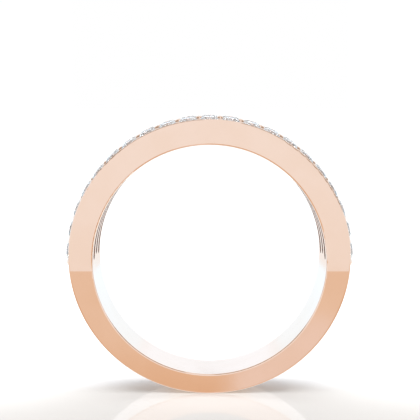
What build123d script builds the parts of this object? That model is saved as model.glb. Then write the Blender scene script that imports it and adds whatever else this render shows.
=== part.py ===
from build123d import *

import os
from math import asin, atan, atan2, cos, degrees, hypot, radians, sin, tan

# A half-eternity wedding band: one cast band of rose gold, and three rows of round brilliants
# pavé-set over its upper half. Millimetres. The origin is the centre of the finger bore, the bore
# runs along Y, and the middle stone of each row is at the top, on +Z.

# Band
inside_diameter = 17.0  # the ring's size
head_wall = 1.85  # bore to rim, along the stones
base_wall = 1.47  # bore to outside, at the bottom
base_width = 4.0  # across the band at the bottom
edge_radius = 0.11  # polished corners of rim and bore
shoulder_angle = 14.6  # above the bore's centre, where the rim's circle gives way to the shank's
shoulder_softening = 1.35  # the corner between them is rounded, this much tighter than the rim
side_bend_drop = 0.955  # below the bore's centre, where the flat sides start to taper
side_bend_radius = 8.5

# Stones
stone_diameter = 1.45
stones_per_row = 21
stone_gap = 0.097  # between neighbours along an outer row, at the girdle
row_gap = 0.08  # between neighbours across the band
row_tilt = 5.5  # degrees that the two outer rows lean outwards
girdle_height = 0.04
table_share = 0.57  # table across its corners, of the stone's diameter
crown_angle = 34.5
pavilion_angle = 40.75
star_share = 0.5  # star facets' length, from the table's edge to the girdle
lower_half_share = 0.77  # lower halves' length, from the girdle to the culet
stone_turn = 17.0  # degrees that each stone is turned from the one before it

# Setting
rail_width = 0.30  # plain polished strip on each side of the stones
rail_gap = 0.045  # between the rail and the outer rows
floor_drop = 0.01  # ridges of the floor, between the stones, below the rim
field_end = 0.12  # floor past the last beads
girdle_rise = 0.03  # middle of the middle row's girdles, above the rim
seat_clearance = 0.01
pilot_diameter = 0.60  # hole under each stone
slot_width = 0.70  # azure slot behind each row
slot_depth = 0.60
slot_end_inset = 0.40  # the outer rows' slots, from the end of the field to the last arc
middle_slot_end_inset = 0.60
bead_gap = 0.012  # between a bead and the seats around it
bead_rise = 0.17  # dome above the top of the girdles
side_bead_rise = 0.15
side_bead_offset = 0.66  # across the band from the middle of an outer row
bead_root = 0.25  # how far a bead's post runs into the band

# Worked out from the above
bore_radius = inside_diameter / 2
rim_radius = bore_radius + head_wall
base_radius = bore_radius + base_wall
slot_radius = bore_radius + slot_depth
row_pitch = stone_diameter + row_gap
field_width = 3 * stone_diameter + 2 * row_gap + 2 * rail_gap
head_width = field_width + 2 * rail_width
stone_radius = stone_diameter / 2
table_radius = stone_radius * table_share
crown_height = (stone_radius - table_radius) * tan(radians(crown_angle))
pavilion_depth = stone_radius * tan(radians(pavilion_angle))
outer_girdle_radius = rim_radius + girdle_rise - row_pitch / 2 * sin(radians(row_tilt))
stone_step = 2 * degrees(atan((stone_diameter + stone_gap) / 2 / outer_girdle_radius))
floor_radius = (rim_radius - floor_drop) * cos(radians(stone_step / 2))
girdle_lift = rim_radius + girdle_rise - floor_radius
head_arc = stones_per_row * stone_step
head_start = 90 - head_arc / 2
rows = (-1, 0, 1)
stone_angles = [head_start + (place + 0.5) * stone_step for place in range(stones_per_row)]
bead_angles = [head_start + place * stone_step for place in range(stones_per_row + 1)]
turning_axis = Axis((0, 0, 0), (0, -1, 0))  # angles grow from +X up to +Z


def polar(radius, angle):
    """A point at this distance and angle, as in an outline of the band."""
    return (radius * cos(radians(angle)), radius * sin(radians(angle)))


def half_plane(angle):
    """The plane through the bore's axis at an angle: x points outwards and y along the bore."""
    x, z = polar(1, angle)
    return Plane(origin=(0, 0, 0), x_dir=(x, 0, z), z_dir=(-z, 0, x))


def outward(angle, across, radius, lean=0):
    """A plane that faces outwards at an angle, and leans towards the band's side."""
    x, z = polar(1, angle)
    up, out = cos(radians(lean)), sin(radians(lean))
    return Plane(
        origin=(radius * x, across, radius * z),
        x_dir=(-out * x, up, -out * z),
        z_dir=(up * x, out, up * z),
    )


def on_floor(angle, row, along=0, lift=0):
    """A plane over a row's strip of floor, this far across from the row's middle and above it.

    The middle strip is level, and each outer strip falls away from the crease beside it. Along the
    rows the floor is a chain of flats, one under each stone.
    """
    lean = row * row_tilt
    crease = row * row_pitch / 2
    from_crease = crease + along
    across = crease + from_crease * cos(radians(lean)) + lift * sin(radians(lean))
    radius = floor_radius - from_crease * sin(radians(lean)) + lift * cos(radians(lean))
    return outward(angle, across, radius, lean)


def facet(azimuth, reach, height, slope):
    """The plane of a facet through a point this far out and up, sloping outwards and down."""
    x, y = polar(1, azimuth)
    tilt_out, tilt_up = sin(radians(slope)), cos(radians(slope))
    if height < 0:
        tilt_up = -tilt_up
    return Plane(origin=(reach * x, reach * y, height), z_dir=(tilt_out * x, tilt_out * y, tilt_up))


# The brilliant: its origin is the middle of the girdle, and its table faces +Z. The crown has
# eight mains, eight stars and sixteen upper halves, and the pavilion eight mains and sixteen lower
# halves. Angles around the stone are counted from a main.
half_turn = 22.5  # from a main to the star beside it
quarter_turn = half_turn / 2  # from a main to the middle of the half facet beside it
half_girdle = girdle_height / 2
table_edge = table_radius * cos(radians(half_turn))
star_tip = table_edge + star_share * (stone_radius - table_edge)
star_tip_height = (stone_radius - star_tip * cos(radians(half_turn))) * tan(radians(crown_angle))
star_angle = degrees(atan2(crown_height - star_tip_height, star_tip - table_edge))
lower_tip = (1 - lower_half_share) * stone_radius
lower_tip_depth = (stone_radius - lower_tip * cos(radians(half_turn))) * tan(radians(pavilion_angle))
chord_share = cos(radians(quarter_turn))
upper_half_angle = degrees(atan2(star_tip_height, (stone_radius - star_tip) * chord_share))
lower_half_angle = degrees(atan2(lower_tip_depth, (stone_radius - lower_tip) * chord_share))

with BuildPart() as brilliant:
    with BuildSketch(Plane.XY.offset(-half_girdle - pavilion_depth)):
        Circle(stone_radius)
    extrude(amount=pavilion_depth + girdle_height + crown_height)
    for main in range(8):
        azimuth = main * 2 * half_turn
        split(bisect_by=facet(azimuth, stone_radius, half_girdle, crown_angle), keep=Keep.BOTTOM)
        split(
            bisect_by=facet(azimuth + half_turn, table_edge, half_girdle + crown_height, star_angle),
            keep=Keep.BOTTOM,
        )
        split(bisect_by=facet(azimuth, stone_radius, -half_girdle, pavilion_angle), keep=Keep.BOTTOM)
        for side in (-quarter_turn, quarter_turn):
            reach = stone_radius * chord_share
            upper_half = facet(azimuth + side, reach, half_girdle, upper_half_angle)
            lower_half = facet(azimuth + side, reach, -half_girdle, lower_half_angle)
            split(bisect_by=upper_half, keep=Keep.BOTTOM)
            split(bisect_by=lower_half, keep=Keep.BOTTOM)

# What a seat takes out of the band: a cone that carries the lower halves, and the pilot hole down
# into the azure slot.
seat_slope = tan(radians(lower_half_angle)) * chord_share
seat_radius = stone_radius + seat_clearance
pilot_radius = pilot_diameter / 2
seat_bottom = -half_girdle - (seat_radius - pilot_radius) * seat_slope
pilot_bottom = -(floor_radius + girdle_lift - bore_radius - slot_depth / 2)
with BuildPart() as seat_cutter:
    with BuildSketch(Plane.XZ):
        with BuildLine():
            Polyline(
                (0, pilot_bottom),
                (pilot_radius, pilot_bottom),
                (pilot_radius, seat_bottom),
                (seat_radius, -half_girdle),
                (0, -half_girdle),
                close=True,
            )
        make_face()
    revolve(axis=Axis.Z)

# An azure slot is a channel up from the bore, with round ends.
slot_cut_radius = bore_radius - slot_depth


def slot_cutter(end_inset):
    """A channel on the bore's middle line, which ends this far inside the field."""
    start = head_start + degrees(end_inset / bore_radius)
    arc = head_arc - 2 * (start - head_start)
    with BuildPart() as cutter:
        with BuildSketch(half_plane(start)):
            with Locations(((slot_cut_radius + rim_radius) / 2, 0)):
                Rectangle(rim_radius - slot_cut_radius, slot_width)
        revolve(axis=turning_axis, revolution_arc=arc)
        for angle in (start, start + arc):
            with BuildSketch(outward(angle, 0, slot_cut_radius)):
                Circle(slot_width / 2)
            extrude(amount=rim_radius - slot_cut_radius)
        with BuildSketch(Plane.XZ):
            Circle(slot_radius)
        extrude(amount=slot_width, both=True, mode=Mode.INTERSECT)
    return cutter.part


# The beads: short round posts with domed heads, which fill the corners between the stones.
corner_reach = hypot(row_pitch / 2, (stone_diameter + stone_gap) / 2)
side_corner_reach = hypot(side_bead_offset, (stone_diameter + stone_gap) / 2)
bead_radius = corner_reach - seat_radius - bead_gap
side_bead_radius = side_corner_reach - seat_radius - bead_gap


def bead_sketch(radius, rise):
    """Half of a bead's section, from its root in the band to the top of its dome."""
    girdle_top = girdle_lift + half_girdle
    with BuildSketch(Plane.XZ) as section:
        with BuildLine():
            Polyline((0, girdle_top + rise), (0, -bead_root), (radius, -bead_root), (radius, girdle_top))
            RadiusArc((radius, girdle_top), (0, girdle_top + rise), -(radius**2 + rise**2) / (2 * rise))
        make_face()
    return section.sketch


with BuildPart() as bead:
    add(bead_sketch(bead_radius, bead_rise))
    revolve(axis=Axis.Z)
with BuildPart() as side_bead:
    add(bead_sketch(side_bead_radius, side_bead_rise))
    revolve(axis=Axis.Z)

# The gold band.
shoulder_share = sin(radians(shoulder_angle))
shank_shift = (rim_radius**2 - base_radius**2) / (2 * (base_radius + rim_radius * shoulder_share))
shank_radius = base_radius + shank_shift  # the shank's circle, whose centre is this shift up
shoulder_radius = rim_radius - shoulder_softening
shank_softening = shank_radius - shoulder_radius
rim_end = degrees(
    asin(
        (shoulder_softening**2 + shank_shift**2 - shank_softening**2)
        / (2 * shoulder_softening * shank_shift)
    )
)
shoulder_x, shoulder_z = polar(shoulder_softening, rim_end)
shoulder_end = degrees(atan2(shoulder_z - shank_shift, shoulder_x))
side_foot = base_radius + edge_radius  # the side's outline runs on past the bottom
side_slope = (head_width - base_width) / 2 / (base_radius - side_bend_drop)
foot_half_width = base_width / 2 - side_slope * edge_radius

with BuildPart() as gold_band:
    # Outline as seen along the bore: the rim's arc, the two shoulders and the shank's arc
    with BuildSketch(Plane.XZ):
        with BuildLine():
            CenterArc((0, 0), rim_radius, rim_end, 180 - 2 * rim_end)
            shoulder = CenterArc(
                (shoulder_x, shoulder_z), shoulder_radius, shoulder_end, rim_end - shoulder_end
            )
            mirror(shoulder, about=Plane.YZ)
            CenterArc((0, shank_shift), shank_radius, shoulder_end, -180 - 2 * shoulder_end)
        make_face()
    extrude(amount=head_width, both=True)
    # Flat sides, which taper towards the bottom
    with BuildSketch(Plane.YZ) as side_outline:
        with BuildLine():
            Polyline(
                (-head_width / 2, rim_radius + edge_radius),
                (-head_width / 2, -side_bend_drop),
                (-foot_half_width, -side_foot),
                (foot_half_width, -side_foot),
                (head_width / 2, -side_bend_drop),
                (head_width / 2, rim_radius + edge_radius),
                close=True,
            )
        make_face()
        bends = side_outline.vertices().group_by(Axis.Y)[1]
        fillet(bends, radius=side_bend_radius)
    extrude(amount=rim_radius + edge_radius, both=True, mode=Mode.INTERSECT)
    # Finger bore
    with BuildSketch(Plane.XZ):
        Circle(bore_radius)
    extrude(amount=head_width, both=True, mode=Mode.SUBTRACT)
    corners = gold_band.edges().filter_by(Axis.X, reverse=True).filter_by(Axis.Y, reverse=True)
    fillet(corners, radius=edge_radius)
    # Floor of the pavé, between the rails: a flat under each rank of three stones
    floor_fall = (field_width - row_pitch) / 2 * tan(radians(row_tilt))
    flat_reach = floor_radius * tan(radians(stone_step / 2)) + field_end
    for angle in stone_angles:
        with BuildSketch(half_plane(angle)):
            with BuildLine():
                Polyline(
                    (rim_radius + head_wall, field_width / 2),
                    (floor_radius - floor_fall, field_width / 2),
                    (floor_radius, row_pitch / 2),
                    (floor_radius, -row_pitch / 2),
                    (floor_radius - floor_fall, -field_width / 2),
                    (rim_radius + head_wall, -field_width / 2),
                    close=True,
                )
            make_face()
        extrude(amount=flat_reach, both=True, mode=Mode.SUBTRACT)
    # Beads: whole ones on the creases, and smaller ones that run into the rails
    with Locations(
        *[
            outward(angle, side * row_pitch / 2, floor_radius, side * row_tilt / 2)
            for angle in bead_angles
            for side in (-1, 1)
        ]
    ):
        add(bead.part)
    with Locations(
        *[
            on_floor(angle, side, side * side_bead_offset)
            for angle in bead_angles
            for side in (-1, 1)
        ]
    ):
        add(side_bead.part)
    # Seats and azure slots
    with Locations(
        *[on_floor(angle, row, lift=girdle_lift) for angle in stone_angles for row in rows]
    ):
        add(seat_cutter.part, mode=Mode.SUBTRACT)
    with Locations((0, 0, 0)):
        add(slot_cutter(middle_slot_end_inset), mode=Mode.SUBTRACT)
    with Locations((0, -row_pitch, 0), (0, row_pitch, 0)):
        add(slot_cutter(slot_end_inset), mode=Mode.SUBTRACT)

os.makedirs("parts", exist_ok=True)
gold_band.part.label = "gold_band"
export_step(gold_band.part, "parts/gold_band.step")

# The stones: one node for each stone of the middle row, and one for each pair beside it.
for place, angle in enumerate(stone_angles):
    number = f"{place + 1:02d}"
    with BuildPart() as centre_diamond:
        with Locations(on_floor(angle, 0, lift=girdle_lift)):
            add(brilliant.part, rotation=(0, 0, place * stone_turn))
    centre_diamond.part.label = f"centre_diamond_{number}"
    export_step(centre_diamond.part, f"parts/centre_diamond_{number}.step")
    with BuildPart() as outer_diamonds:
        with Locations(*[on_floor(angle, row, lift=girdle_lift) for row in (-1, 1)]):
            add(brilliant.part, rotation=(0, 0, (place + 1) * stone_turn))
    outer_diamonds.part.label = f"outer_diamonds_{number}"
    export_step(outer_diamonds.part, f"parts/outer_diamonds_{number}.step")
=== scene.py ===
import bpy
import math
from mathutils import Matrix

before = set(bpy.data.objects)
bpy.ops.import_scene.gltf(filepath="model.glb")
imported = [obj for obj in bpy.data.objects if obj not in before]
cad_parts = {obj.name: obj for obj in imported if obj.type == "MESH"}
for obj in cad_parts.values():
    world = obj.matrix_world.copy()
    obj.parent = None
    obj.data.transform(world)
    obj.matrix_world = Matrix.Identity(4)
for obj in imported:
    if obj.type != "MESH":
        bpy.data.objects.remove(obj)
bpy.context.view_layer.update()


def millimetres(*values):
    return tuple(value * 0.001 for value in values)


def colour(red, green, blue):
    return (red, green, blue, 1.0)


class Value:
    # a socket that can be added, multiplied and so on in plain expressions

    def __init__(self, nodes, socket):
        self.nodes = nodes
        self.socket = socket

    def math(self, operation, *others, first=None):
        inputs = [self if first is None else first] + list(others)
        return self.nodes.node("ShaderNodeMath", {"operation": operation}, dict(enumerate(inputs)))

    def __add__(self, other):
        return self.math("ADD", other)

    def __radd__(self, other):
        return self.math("ADD", self, first=other)

    def __sub__(self, other):
        return self.math("SUBTRACT", other)

    def __rsub__(self, other):
        return self.math("SUBTRACT", self, first=other)

    def __mul__(self, other):
        return self.math("MULTIPLY", other)

    def __rmul__(self, other):
        return self.math("MULTIPLY", self, first=other)

    def __truediv__(self, other):
        return self.math("DIVIDE", other)

    def __rtruediv__(self, other):
        return self.math("DIVIDE", self, first=other)

    def __pow__(self, other):
        return self.math("POWER", other)

    def ramp(self, low, high, toLow=0.0, toHigh=1.0):
        # a soft step from toLow to toHigh while this value goes from low to high
        return self.nodes.node(
            "ShaderNodeMapRange",
            {"interpolation_type": "SMOOTHSTEP"},
            {"Value": self, "From Min": low, "From Max": high, "To Min": toLow, "To Max": toHigh},
        )

    def within(self, rise, fall):
        # one between two soft edges, each given by where it starts and ends
        return self.ramp(*rise) * (1.0 - self.ramp(*fall))


class Nodes:
    # one node tree, with one method that adds any node

    def __init__(self, tree):
        self.tree = tree
        tree.nodes.clear()

    def node(self, kind, settings=None, inputs=None, output=0):
        made = self.tree.nodes.new(kind)
        settings = dict(settings or {})
        stops = settings.pop("stops", None)
        for name, value in settings.items():
            setattr(made, name, value)
        if stops:
            elements = made.color_ramp.elements
            while len(elements) < len(stops):
                elements.new(0.5)
            for element, (position, shade) in zip(elements, stops):
                element.position = position
                element.color = shade
        for name, value in (inputs or {}).items():
            socket = made.inputs[name]
            if isinstance(value, Value):
                self.tree.links.new(value.socket, socket)
            else:
                socket.default_value = value
        return Value(self, made.outputs[output]) if made.outputs else made

    def mix(self, share, one, other):
        return self.node(
            "ShaderNodeMix", {"data_type": "RGBA"}, {0: share, 6: one, 7: other}, output=2
        )

    def placeInMillimetres(self):
        place = self.node("ShaderNodeTexCoord", output=3)
        scaled = self.node("ShaderNodeVectorMath", {"operation": "SCALE"}, {0: place, "Scale": 1000.0})
        return scaled, [self.node("ShaderNodeSeparateXYZ", {}, {0: scaled}, output=k) for k in range(3)]


# Rose gold: mirror polish, with a little unevenness, polishing lines that run round the band, and a duller
# finish in the azure slots and under the stones, whose colour there is also a little darker as painted
# shade
roseGoldFinish = {
    "colour": colour(0.908, 0.708, 0.597),
    "warmColour": colour(0.896, 0.69, 0.572),
    # a little darker than the polish: painted shade in the slots and under the stones, on top of the
    # rougher cut finish
    "cutColourWithPaintedShade": colour(0.89, 0.67, 0.55),
    "roughness": 0.055,
    "roughnessSwing": 0.035,
    "slotRoughness": 0.2,
    "floorRoughness": 0.16,
    "lineBump": 0.012,
    "lineDepth": 0.00005,
    "cutGrain": 2.0,
    "cloudScale": 0.45,
    "lineScale": 26.0,
    "lineStretch": 1.3,
    "grainScale": 9.0,
    # where the cut finish and its painted shade lie, in millimetres from the bore's axis, across the band
    # and up
    "slotFromBore": (8.53, 8.62),
    "slotToTop": (9.12, 9.2),
    "slotSide": (1.95, 2.0),
    "fieldFromFloor": (10.0, 10.15),
    "fieldToRim": (10.36, 10.42),
    "fieldSide": (2.24, 2.3),
    "fieldEnd": (-1.2, -0.6),
}


def makeRoseGold():
    finish = roseGoldFinish
    material = bpy.data.materials.new("roseGold")
    material.use_nodes = True
    nodes = Nodes(material.node_tree)
    place, (x, y, z) = nodes.placeInMillimetres()
    radius = (x * x + z * z) ** 0.5
    angle = x.math("ARCTAN2", z)
    aroundBand = nodes.node("ShaderNodeCombineXYZ", {}, {0: angle * finish["lineStretch"], 1: y, 2: radius})
    cloud = nodes.node(
        "ShaderNodeTexNoise", {}, {"Vector": place, "Scale": finish["cloudScale"], "Detail": 3.0}
    )
    lines = nodes.node(
        "ShaderNodeTexNoise",
        {},
        {"Vector": aroundBand, "Scale": finish["lineScale"], "Detail": 4.0, "Roughness": 0.6},
    )
    grain = nodes.node(
        "ShaderNodeTexNoise", {}, {"Vector": place, "Scale": finish["grainScale"], "Detail": 5.0}
    )
    across = y.math("ABSOLUTE")
    inSlot = radius.within(finish["slotFromBore"], finish["slotToTop"])
    inSlot = inSlot * (1.0 - across.ramp(*finish["slotSide"]))
    inField = radius.within(finish["fieldFromFloor"], finish["fieldToRim"])
    inField = inField * (1.0 - across.ramp(*finish["fieldSide"])) * z.ramp(*finish["fieldEnd"])
    shade = nodes.mix(cloud.ramp(0.35, 0.65), finish["colour"], finish["warmColour"])
    # painted shade: the slots and the field under the stones take the darker colour
    shade = nodes.mix((inSlot + inField).math("MINIMUM", 1.0), shade, finish["cutColourWithPaintedShade"])
    cutGrain = grain.ramp(0.3, 0.7, 0.6, 1.0)
    roughness = (
        finish["roughness"]
        + finish["roughnessSwing"] * lines.ramp(0.4, 0.7) * cloud.ramp(0.3, 0.7)
        + finish["slotRoughness"] * inSlot * cutGrain
        + finish["floorRoughness"] * inField * cutGrain
    )
    height = lines * (1.0 - inSlot) + grain * (inSlot + inField) * finish["cutGrain"]
    bump = nodes.node(
        "ShaderNodeBump",
        {},
        {"Strength": finish["lineBump"], "Distance": finish["lineDepth"], "Height": height},
    )
    surface = nodes.node(
        "ShaderNodeBsdfPrincipled",
        {},
        {"Base Color": shade, "Metallic": 1.0, "Roughness": roughness, "Normal": bump},
    )
    nodes.node("ShaderNodeOutputMaterial", {}, {"Surface": surface})
    return material


# Diamond: clear, with faint clouds, tiny inclusions and a little pale body colour
diamondFinish = {
    "colour": colour(0.985, 0.99, 1.0),
    "cloudColour": colour(0.93, 0.95, 0.985),
    "inclusionColour": colour(0.72, 0.73, 0.75),
    "indexOfRefraction": 2.417,
    "clearShare": 0.8,
    "roughness": 0.004,
    "roughnessSwing": 0.01,
    "facetBump": 0.01,
    "facetDepth": 0.00002,
    "cloudScale": 1.7,
    "inclusionScale": 5.5,
    "polishScale": 14.0,
}


def makeDiamond():
    finish = diamondFinish
    material = bpy.data.materials.new("diamond")
    material.use_nodes = True
    nodes = Nodes(material.node_tree)
    place, _ = nodes.placeInMillimetres()
    cloud = nodes.node(
        "ShaderNodeTexNoise", {}, {"Vector": place, "Scale": finish["cloudScale"], "Detail": 3.0}
    )
    specks = nodes.node("ShaderNodeTexVoronoi", {}, {"Vector": place, "Scale": finish["inclusionScale"]})
    polish = nodes.node(
        "ShaderNodeTexNoise", {}, {"Vector": place, "Scale": finish["polishScale"], "Detail": 3.0}
    )
    shade = nodes.mix(cloud.ramp(0.45, 0.75), finish["colour"], finish["cloudColour"])
    shade = nodes.mix(1.0 - specks.ramp(0.03, 0.07), shade, finish["inclusionColour"])
    bump = nodes.node(
        "ShaderNodeBump",
        {},
        {"Strength": finish["facetBump"], "Distance": finish["facetDepth"], "Height": polish},
    )
    surface = nodes.node(
        "ShaderNodeBsdfPrincipled",
        {},
        {
            "Base Color": shade,
            "Roughness": finish["roughness"] + polish * finish["roughnessSwing"],
            "IOR": finish["indexOfRefraction"],
            "Transmission Weight": finish["clearShare"],
            "Normal": bump,
        },
    )
    nodes.node("ShaderNodeOutputMaterial", {}, {"Surface": surface})
    return material


roseGold = makeRoseGold()
diamond = makeDiamond()
print("finishes made")

# The cast band keeps its own shape, and gets the polished finish
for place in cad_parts["gold_band"].material_slots:
    place.material = roseGold
print("band finished")

# The stones keep their cut facets, and get the diamond finish
for name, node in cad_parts.items():
    if "diamond" in name:
        for place in node.material_slots:
            place.material = diamond
print("stones finished")

# Floor: pale and glossy, with a painted shadow that makes it darker in front of the ring
floorPiece = {
    "height": -9.97,
    "size": 3000.0,
    "colour": colour(0.86, 0.86, 0.86),
    "paleColour": colour(0.875, 0.872, 0.87),
    # painted shadow: a darker floor colour in front of the ring, and where it starts and ends across y
    "frontShadowColour": colour(0.585, 0.575, 0.565),
    "frontShadowEdge": (-10.0, 2.0),
    "cloudScale": 0.02,
    "roughness": 0.03,
    "indexOfRefraction": 1.5,
}


def makeFloor():
    bpy.ops.object.select_all(action="DESELECT")
    bpy.ops.mesh.primitive_plane_add(
        size=floorPiece["size"] * 0.001, location=millimetres(0.0, 0.0, floorPiece["height"])
    )
    floor = bpy.context.active_object
    floor.name = "floor"
    material = bpy.data.materials.new("paleFloor")
    material.use_nodes = True
    nodes = Nodes(material.node_tree)
    place, (x, y, z) = nodes.placeInMillimetres()
    cloud = nodes.node(
        "ShaderNodeTexNoise", {}, {"Vector": place, "Scale": floorPiece["cloudScale"], "Detail": 2.0}
    )
    paperAndPaintedShadow = nodes.mix(cloud, floorPiece["colour"], floorPiece["paleColour"])
    # painted shadow: the floor turns darker towards the front of the ring
    paperAndPaintedShadow = nodes.mix(y.ramp(*floorPiece["frontShadowEdge"]), floorPiece["frontShadowColour"], paperAndPaintedShadow)
    surface = nodes.node(
        "ShaderNodeBsdfPrincipled",
        {},
        {
            "Base Color": paperAndPaintedShadow,
            "Roughness": floorPiece["roughness"],
            "IOR": floorPiece["indexOfRefraction"],
        },
    )
    nodes.node("ShaderNodeOutputMaterial", {}, {"Surface": surface})
    floor.data.materials.append(material)
    floor.visible_glossy = False


makeFloor()

# Studio: white walls with a warm foot, a ceiling that is duller over the ring but for one strip, pale
# panels behind, and a wide soft lamp overhead. Angles are in degrees, each soft edge from and to.
studio = {
    "walls": [
        (-62.0, colour(0.86, 0.70, 0.60)),
        (-29.0, colour(0.70, 0.44, 0.27)),
        (-23.5, colour(0.848, 0.61, 0.43)),
        (-21.5, colour(0.887, 0.711, 0.566)),
        (-11.6, colour(0.887, 0.711, 0.566)),
        (-10.2, colour(0.985, 0.962, 0.94)),
        (-3.0, colour(1.0, 1.0, 1.0)),
    ],
    "screen": {
        "colour": colour(0.915, 0.79, 0.72),
        "left": (1.0, 1.4),
        "right": (7.0, 9.0),
        "top": (-20.1, -19.8),
    },
    "ceiling": {"colour": colour(0.46, 0.37, 0.30), "foot": (22.0, 24.0), "sides": (0.35, 0.6)},
    "strip": {"left": (-3.5, -1.5), "right": (14.0, 16.0)},
    "rear": (-0.1, 0.3),
    "rearFloor": {"colour": colour(1.14, 1.18, 1.14), "top": (-13.0, -12.0)},
    "sidePanel": {
        "colour": colour(1.02, 1.2, 1.33),
        "inner": (7.6, 8.2),
        "foot": (-13.0, -12.0),
        "top": (6.0, 10.0),
    },
    "rearWall": {"colour": colour(1.07, 1.23, 1.38), "foot": (6.0, 10.0), "top": (16.0, 16.6)},
    "rearTop": {"colour": colour(0.42, 0.46, 0.47), "foot": (16.0, 16.6), "top": (22.0, 24.0)},
    "tent": {"colour": colour(1.0, 1.0, 1.02), "share": 0.85},
    "lamp": {"energy": 3.3, "width": 75.0, "height": 200.0},
}


def makeStudio():
    world = bpy.data.worlds.new("studio")
    bpy.context.scene.world = world
    world.use_nodes = True
    nodes = Nodes(world.node_tree)
    direction = nodes.node("ShaderNodeTexCoord", output=0)
    x, y, z = [nodes.node("ShaderNodeSeparateXYZ", {}, {0: direction}, output=k) for k in range(3)]
    elevation = z.math("ARCSINE") * math.degrees(1.0)
    stops = [((degrees + 90.0) / 180.0, shade) for degrees, shade in studio["walls"]]
    shade = nodes.node("ShaderNodeValToRGB", {"stops": stops}, {"Fac": (elevation + 90.0) / 180.0})

    # a warm screen, low on the right in front
    screen = studio["screen"]
    turned = x.math("ARCTAN2", y * -1.0) * math.degrees(1.0)
    onScreen = turned.within(screen["left"], screen["right"]) * (1.0 - elevation.ramp(*screen["top"]))
    shade = nodes.mix(onScreen, shade, screen["colour"])

    # the ceiling's dull band over the ring, open along the strip
    ceiling, strip = studio["ceiling"], studio["strip"]
    lean = x.math("ARCTAN2", z) * math.degrees(1.0)
    onStrip = lean.within(strip["left"], strip["right"])
    overRing = elevation.ramp(*ceiling["foot"]) * (1.0 - y.math("ABSOLUTE").ramp(*ceiling["sides"]))
    shade = nodes.mix(overRing * (1.0 - onStrip), shade, ceiling["colour"])

    # behind the ring: a pale floor, a panel on either side, a cool wall and a softer top
    rear = y.ramp(*studio["rear"])
    rearFloor, panel = studio["rearFloor"], studio["sidePanel"]
    shade = nodes.mix(rear * (1.0 - elevation.ramp(*rearFloor["top"])), shade, rearFloor["colour"])
    aside = x.math("ABSOLUTE").math("ARCTAN2", y) * math.degrees(1.0)
    onPanel = rear * aside.ramp(*panel["inner"]) * elevation.within(panel["foot"], panel["top"])
    shade = nodes.mix(onPanel, shade, panel["colour"])
    for piece in (studio["rearWall"], studio["rearTop"]):
        shade = nodes.mix(rear * elevation.within(piece["foot"], piece["top"]), shade, piece["colour"])

    # what is seen through a stone is mostly a pale tent
    throughStone = nodes.node("ShaderNodeLightPath", output=6)
    shade = nodes.mix(throughStone * studio["tent"]["share"], shade, studio["tent"]["colour"])
    background = nodes.node("ShaderNodeBackground", {}, {"Color": shade})
    nodes.node("ShaderNodeOutputWorld", {}, {"Surface": background})

    bpy.ops.object.select_all(action="DESELECT")
    bpy.ops.object.light_add(type="SUN", location=millimetres(0.0, 0.0, studio["lamp"]["height"]))
    lamp = bpy.context.active_object
    lamp.name = "softLamp"
    lamp.data.energy = studio["lamp"]["energy"]
    lamp.data.angle = math.radians(studio["lamp"]["width"])
    lamp.visible_glossy = False


makeStudio()

# Camera
cameraView = {
    "place": (0.032, -75.32, 12.05),
    "pitch": 83.54,
    "lens": 86.9,
    "sensor": 36.0,
    "nearest": 0.001,
    "farthest": 100.0,
}


def makeCamera():
    camera = bpy.data.objects.new("camera", bpy.data.cameras.new("camera"))
    bpy.context.scene.collection.objects.link(camera)
    camera.location = millimetres(*cameraView["place"])
    camera.rotation_euler = (math.radians(cameraView["pitch"]), 0.0, 0.0)
    camera.data.lens = cameraView["lens"]
    camera.data.sensor_width = cameraView["sensor"]
    camera.data.clip_start = cameraView["nearest"]
    camera.data.clip_end = cameraView["farthest"]
    bpy.context.scene.camera = camera


makeCamera()
bpy.context.scene.view_settings.view_transform = "Standard"
print("studio made")
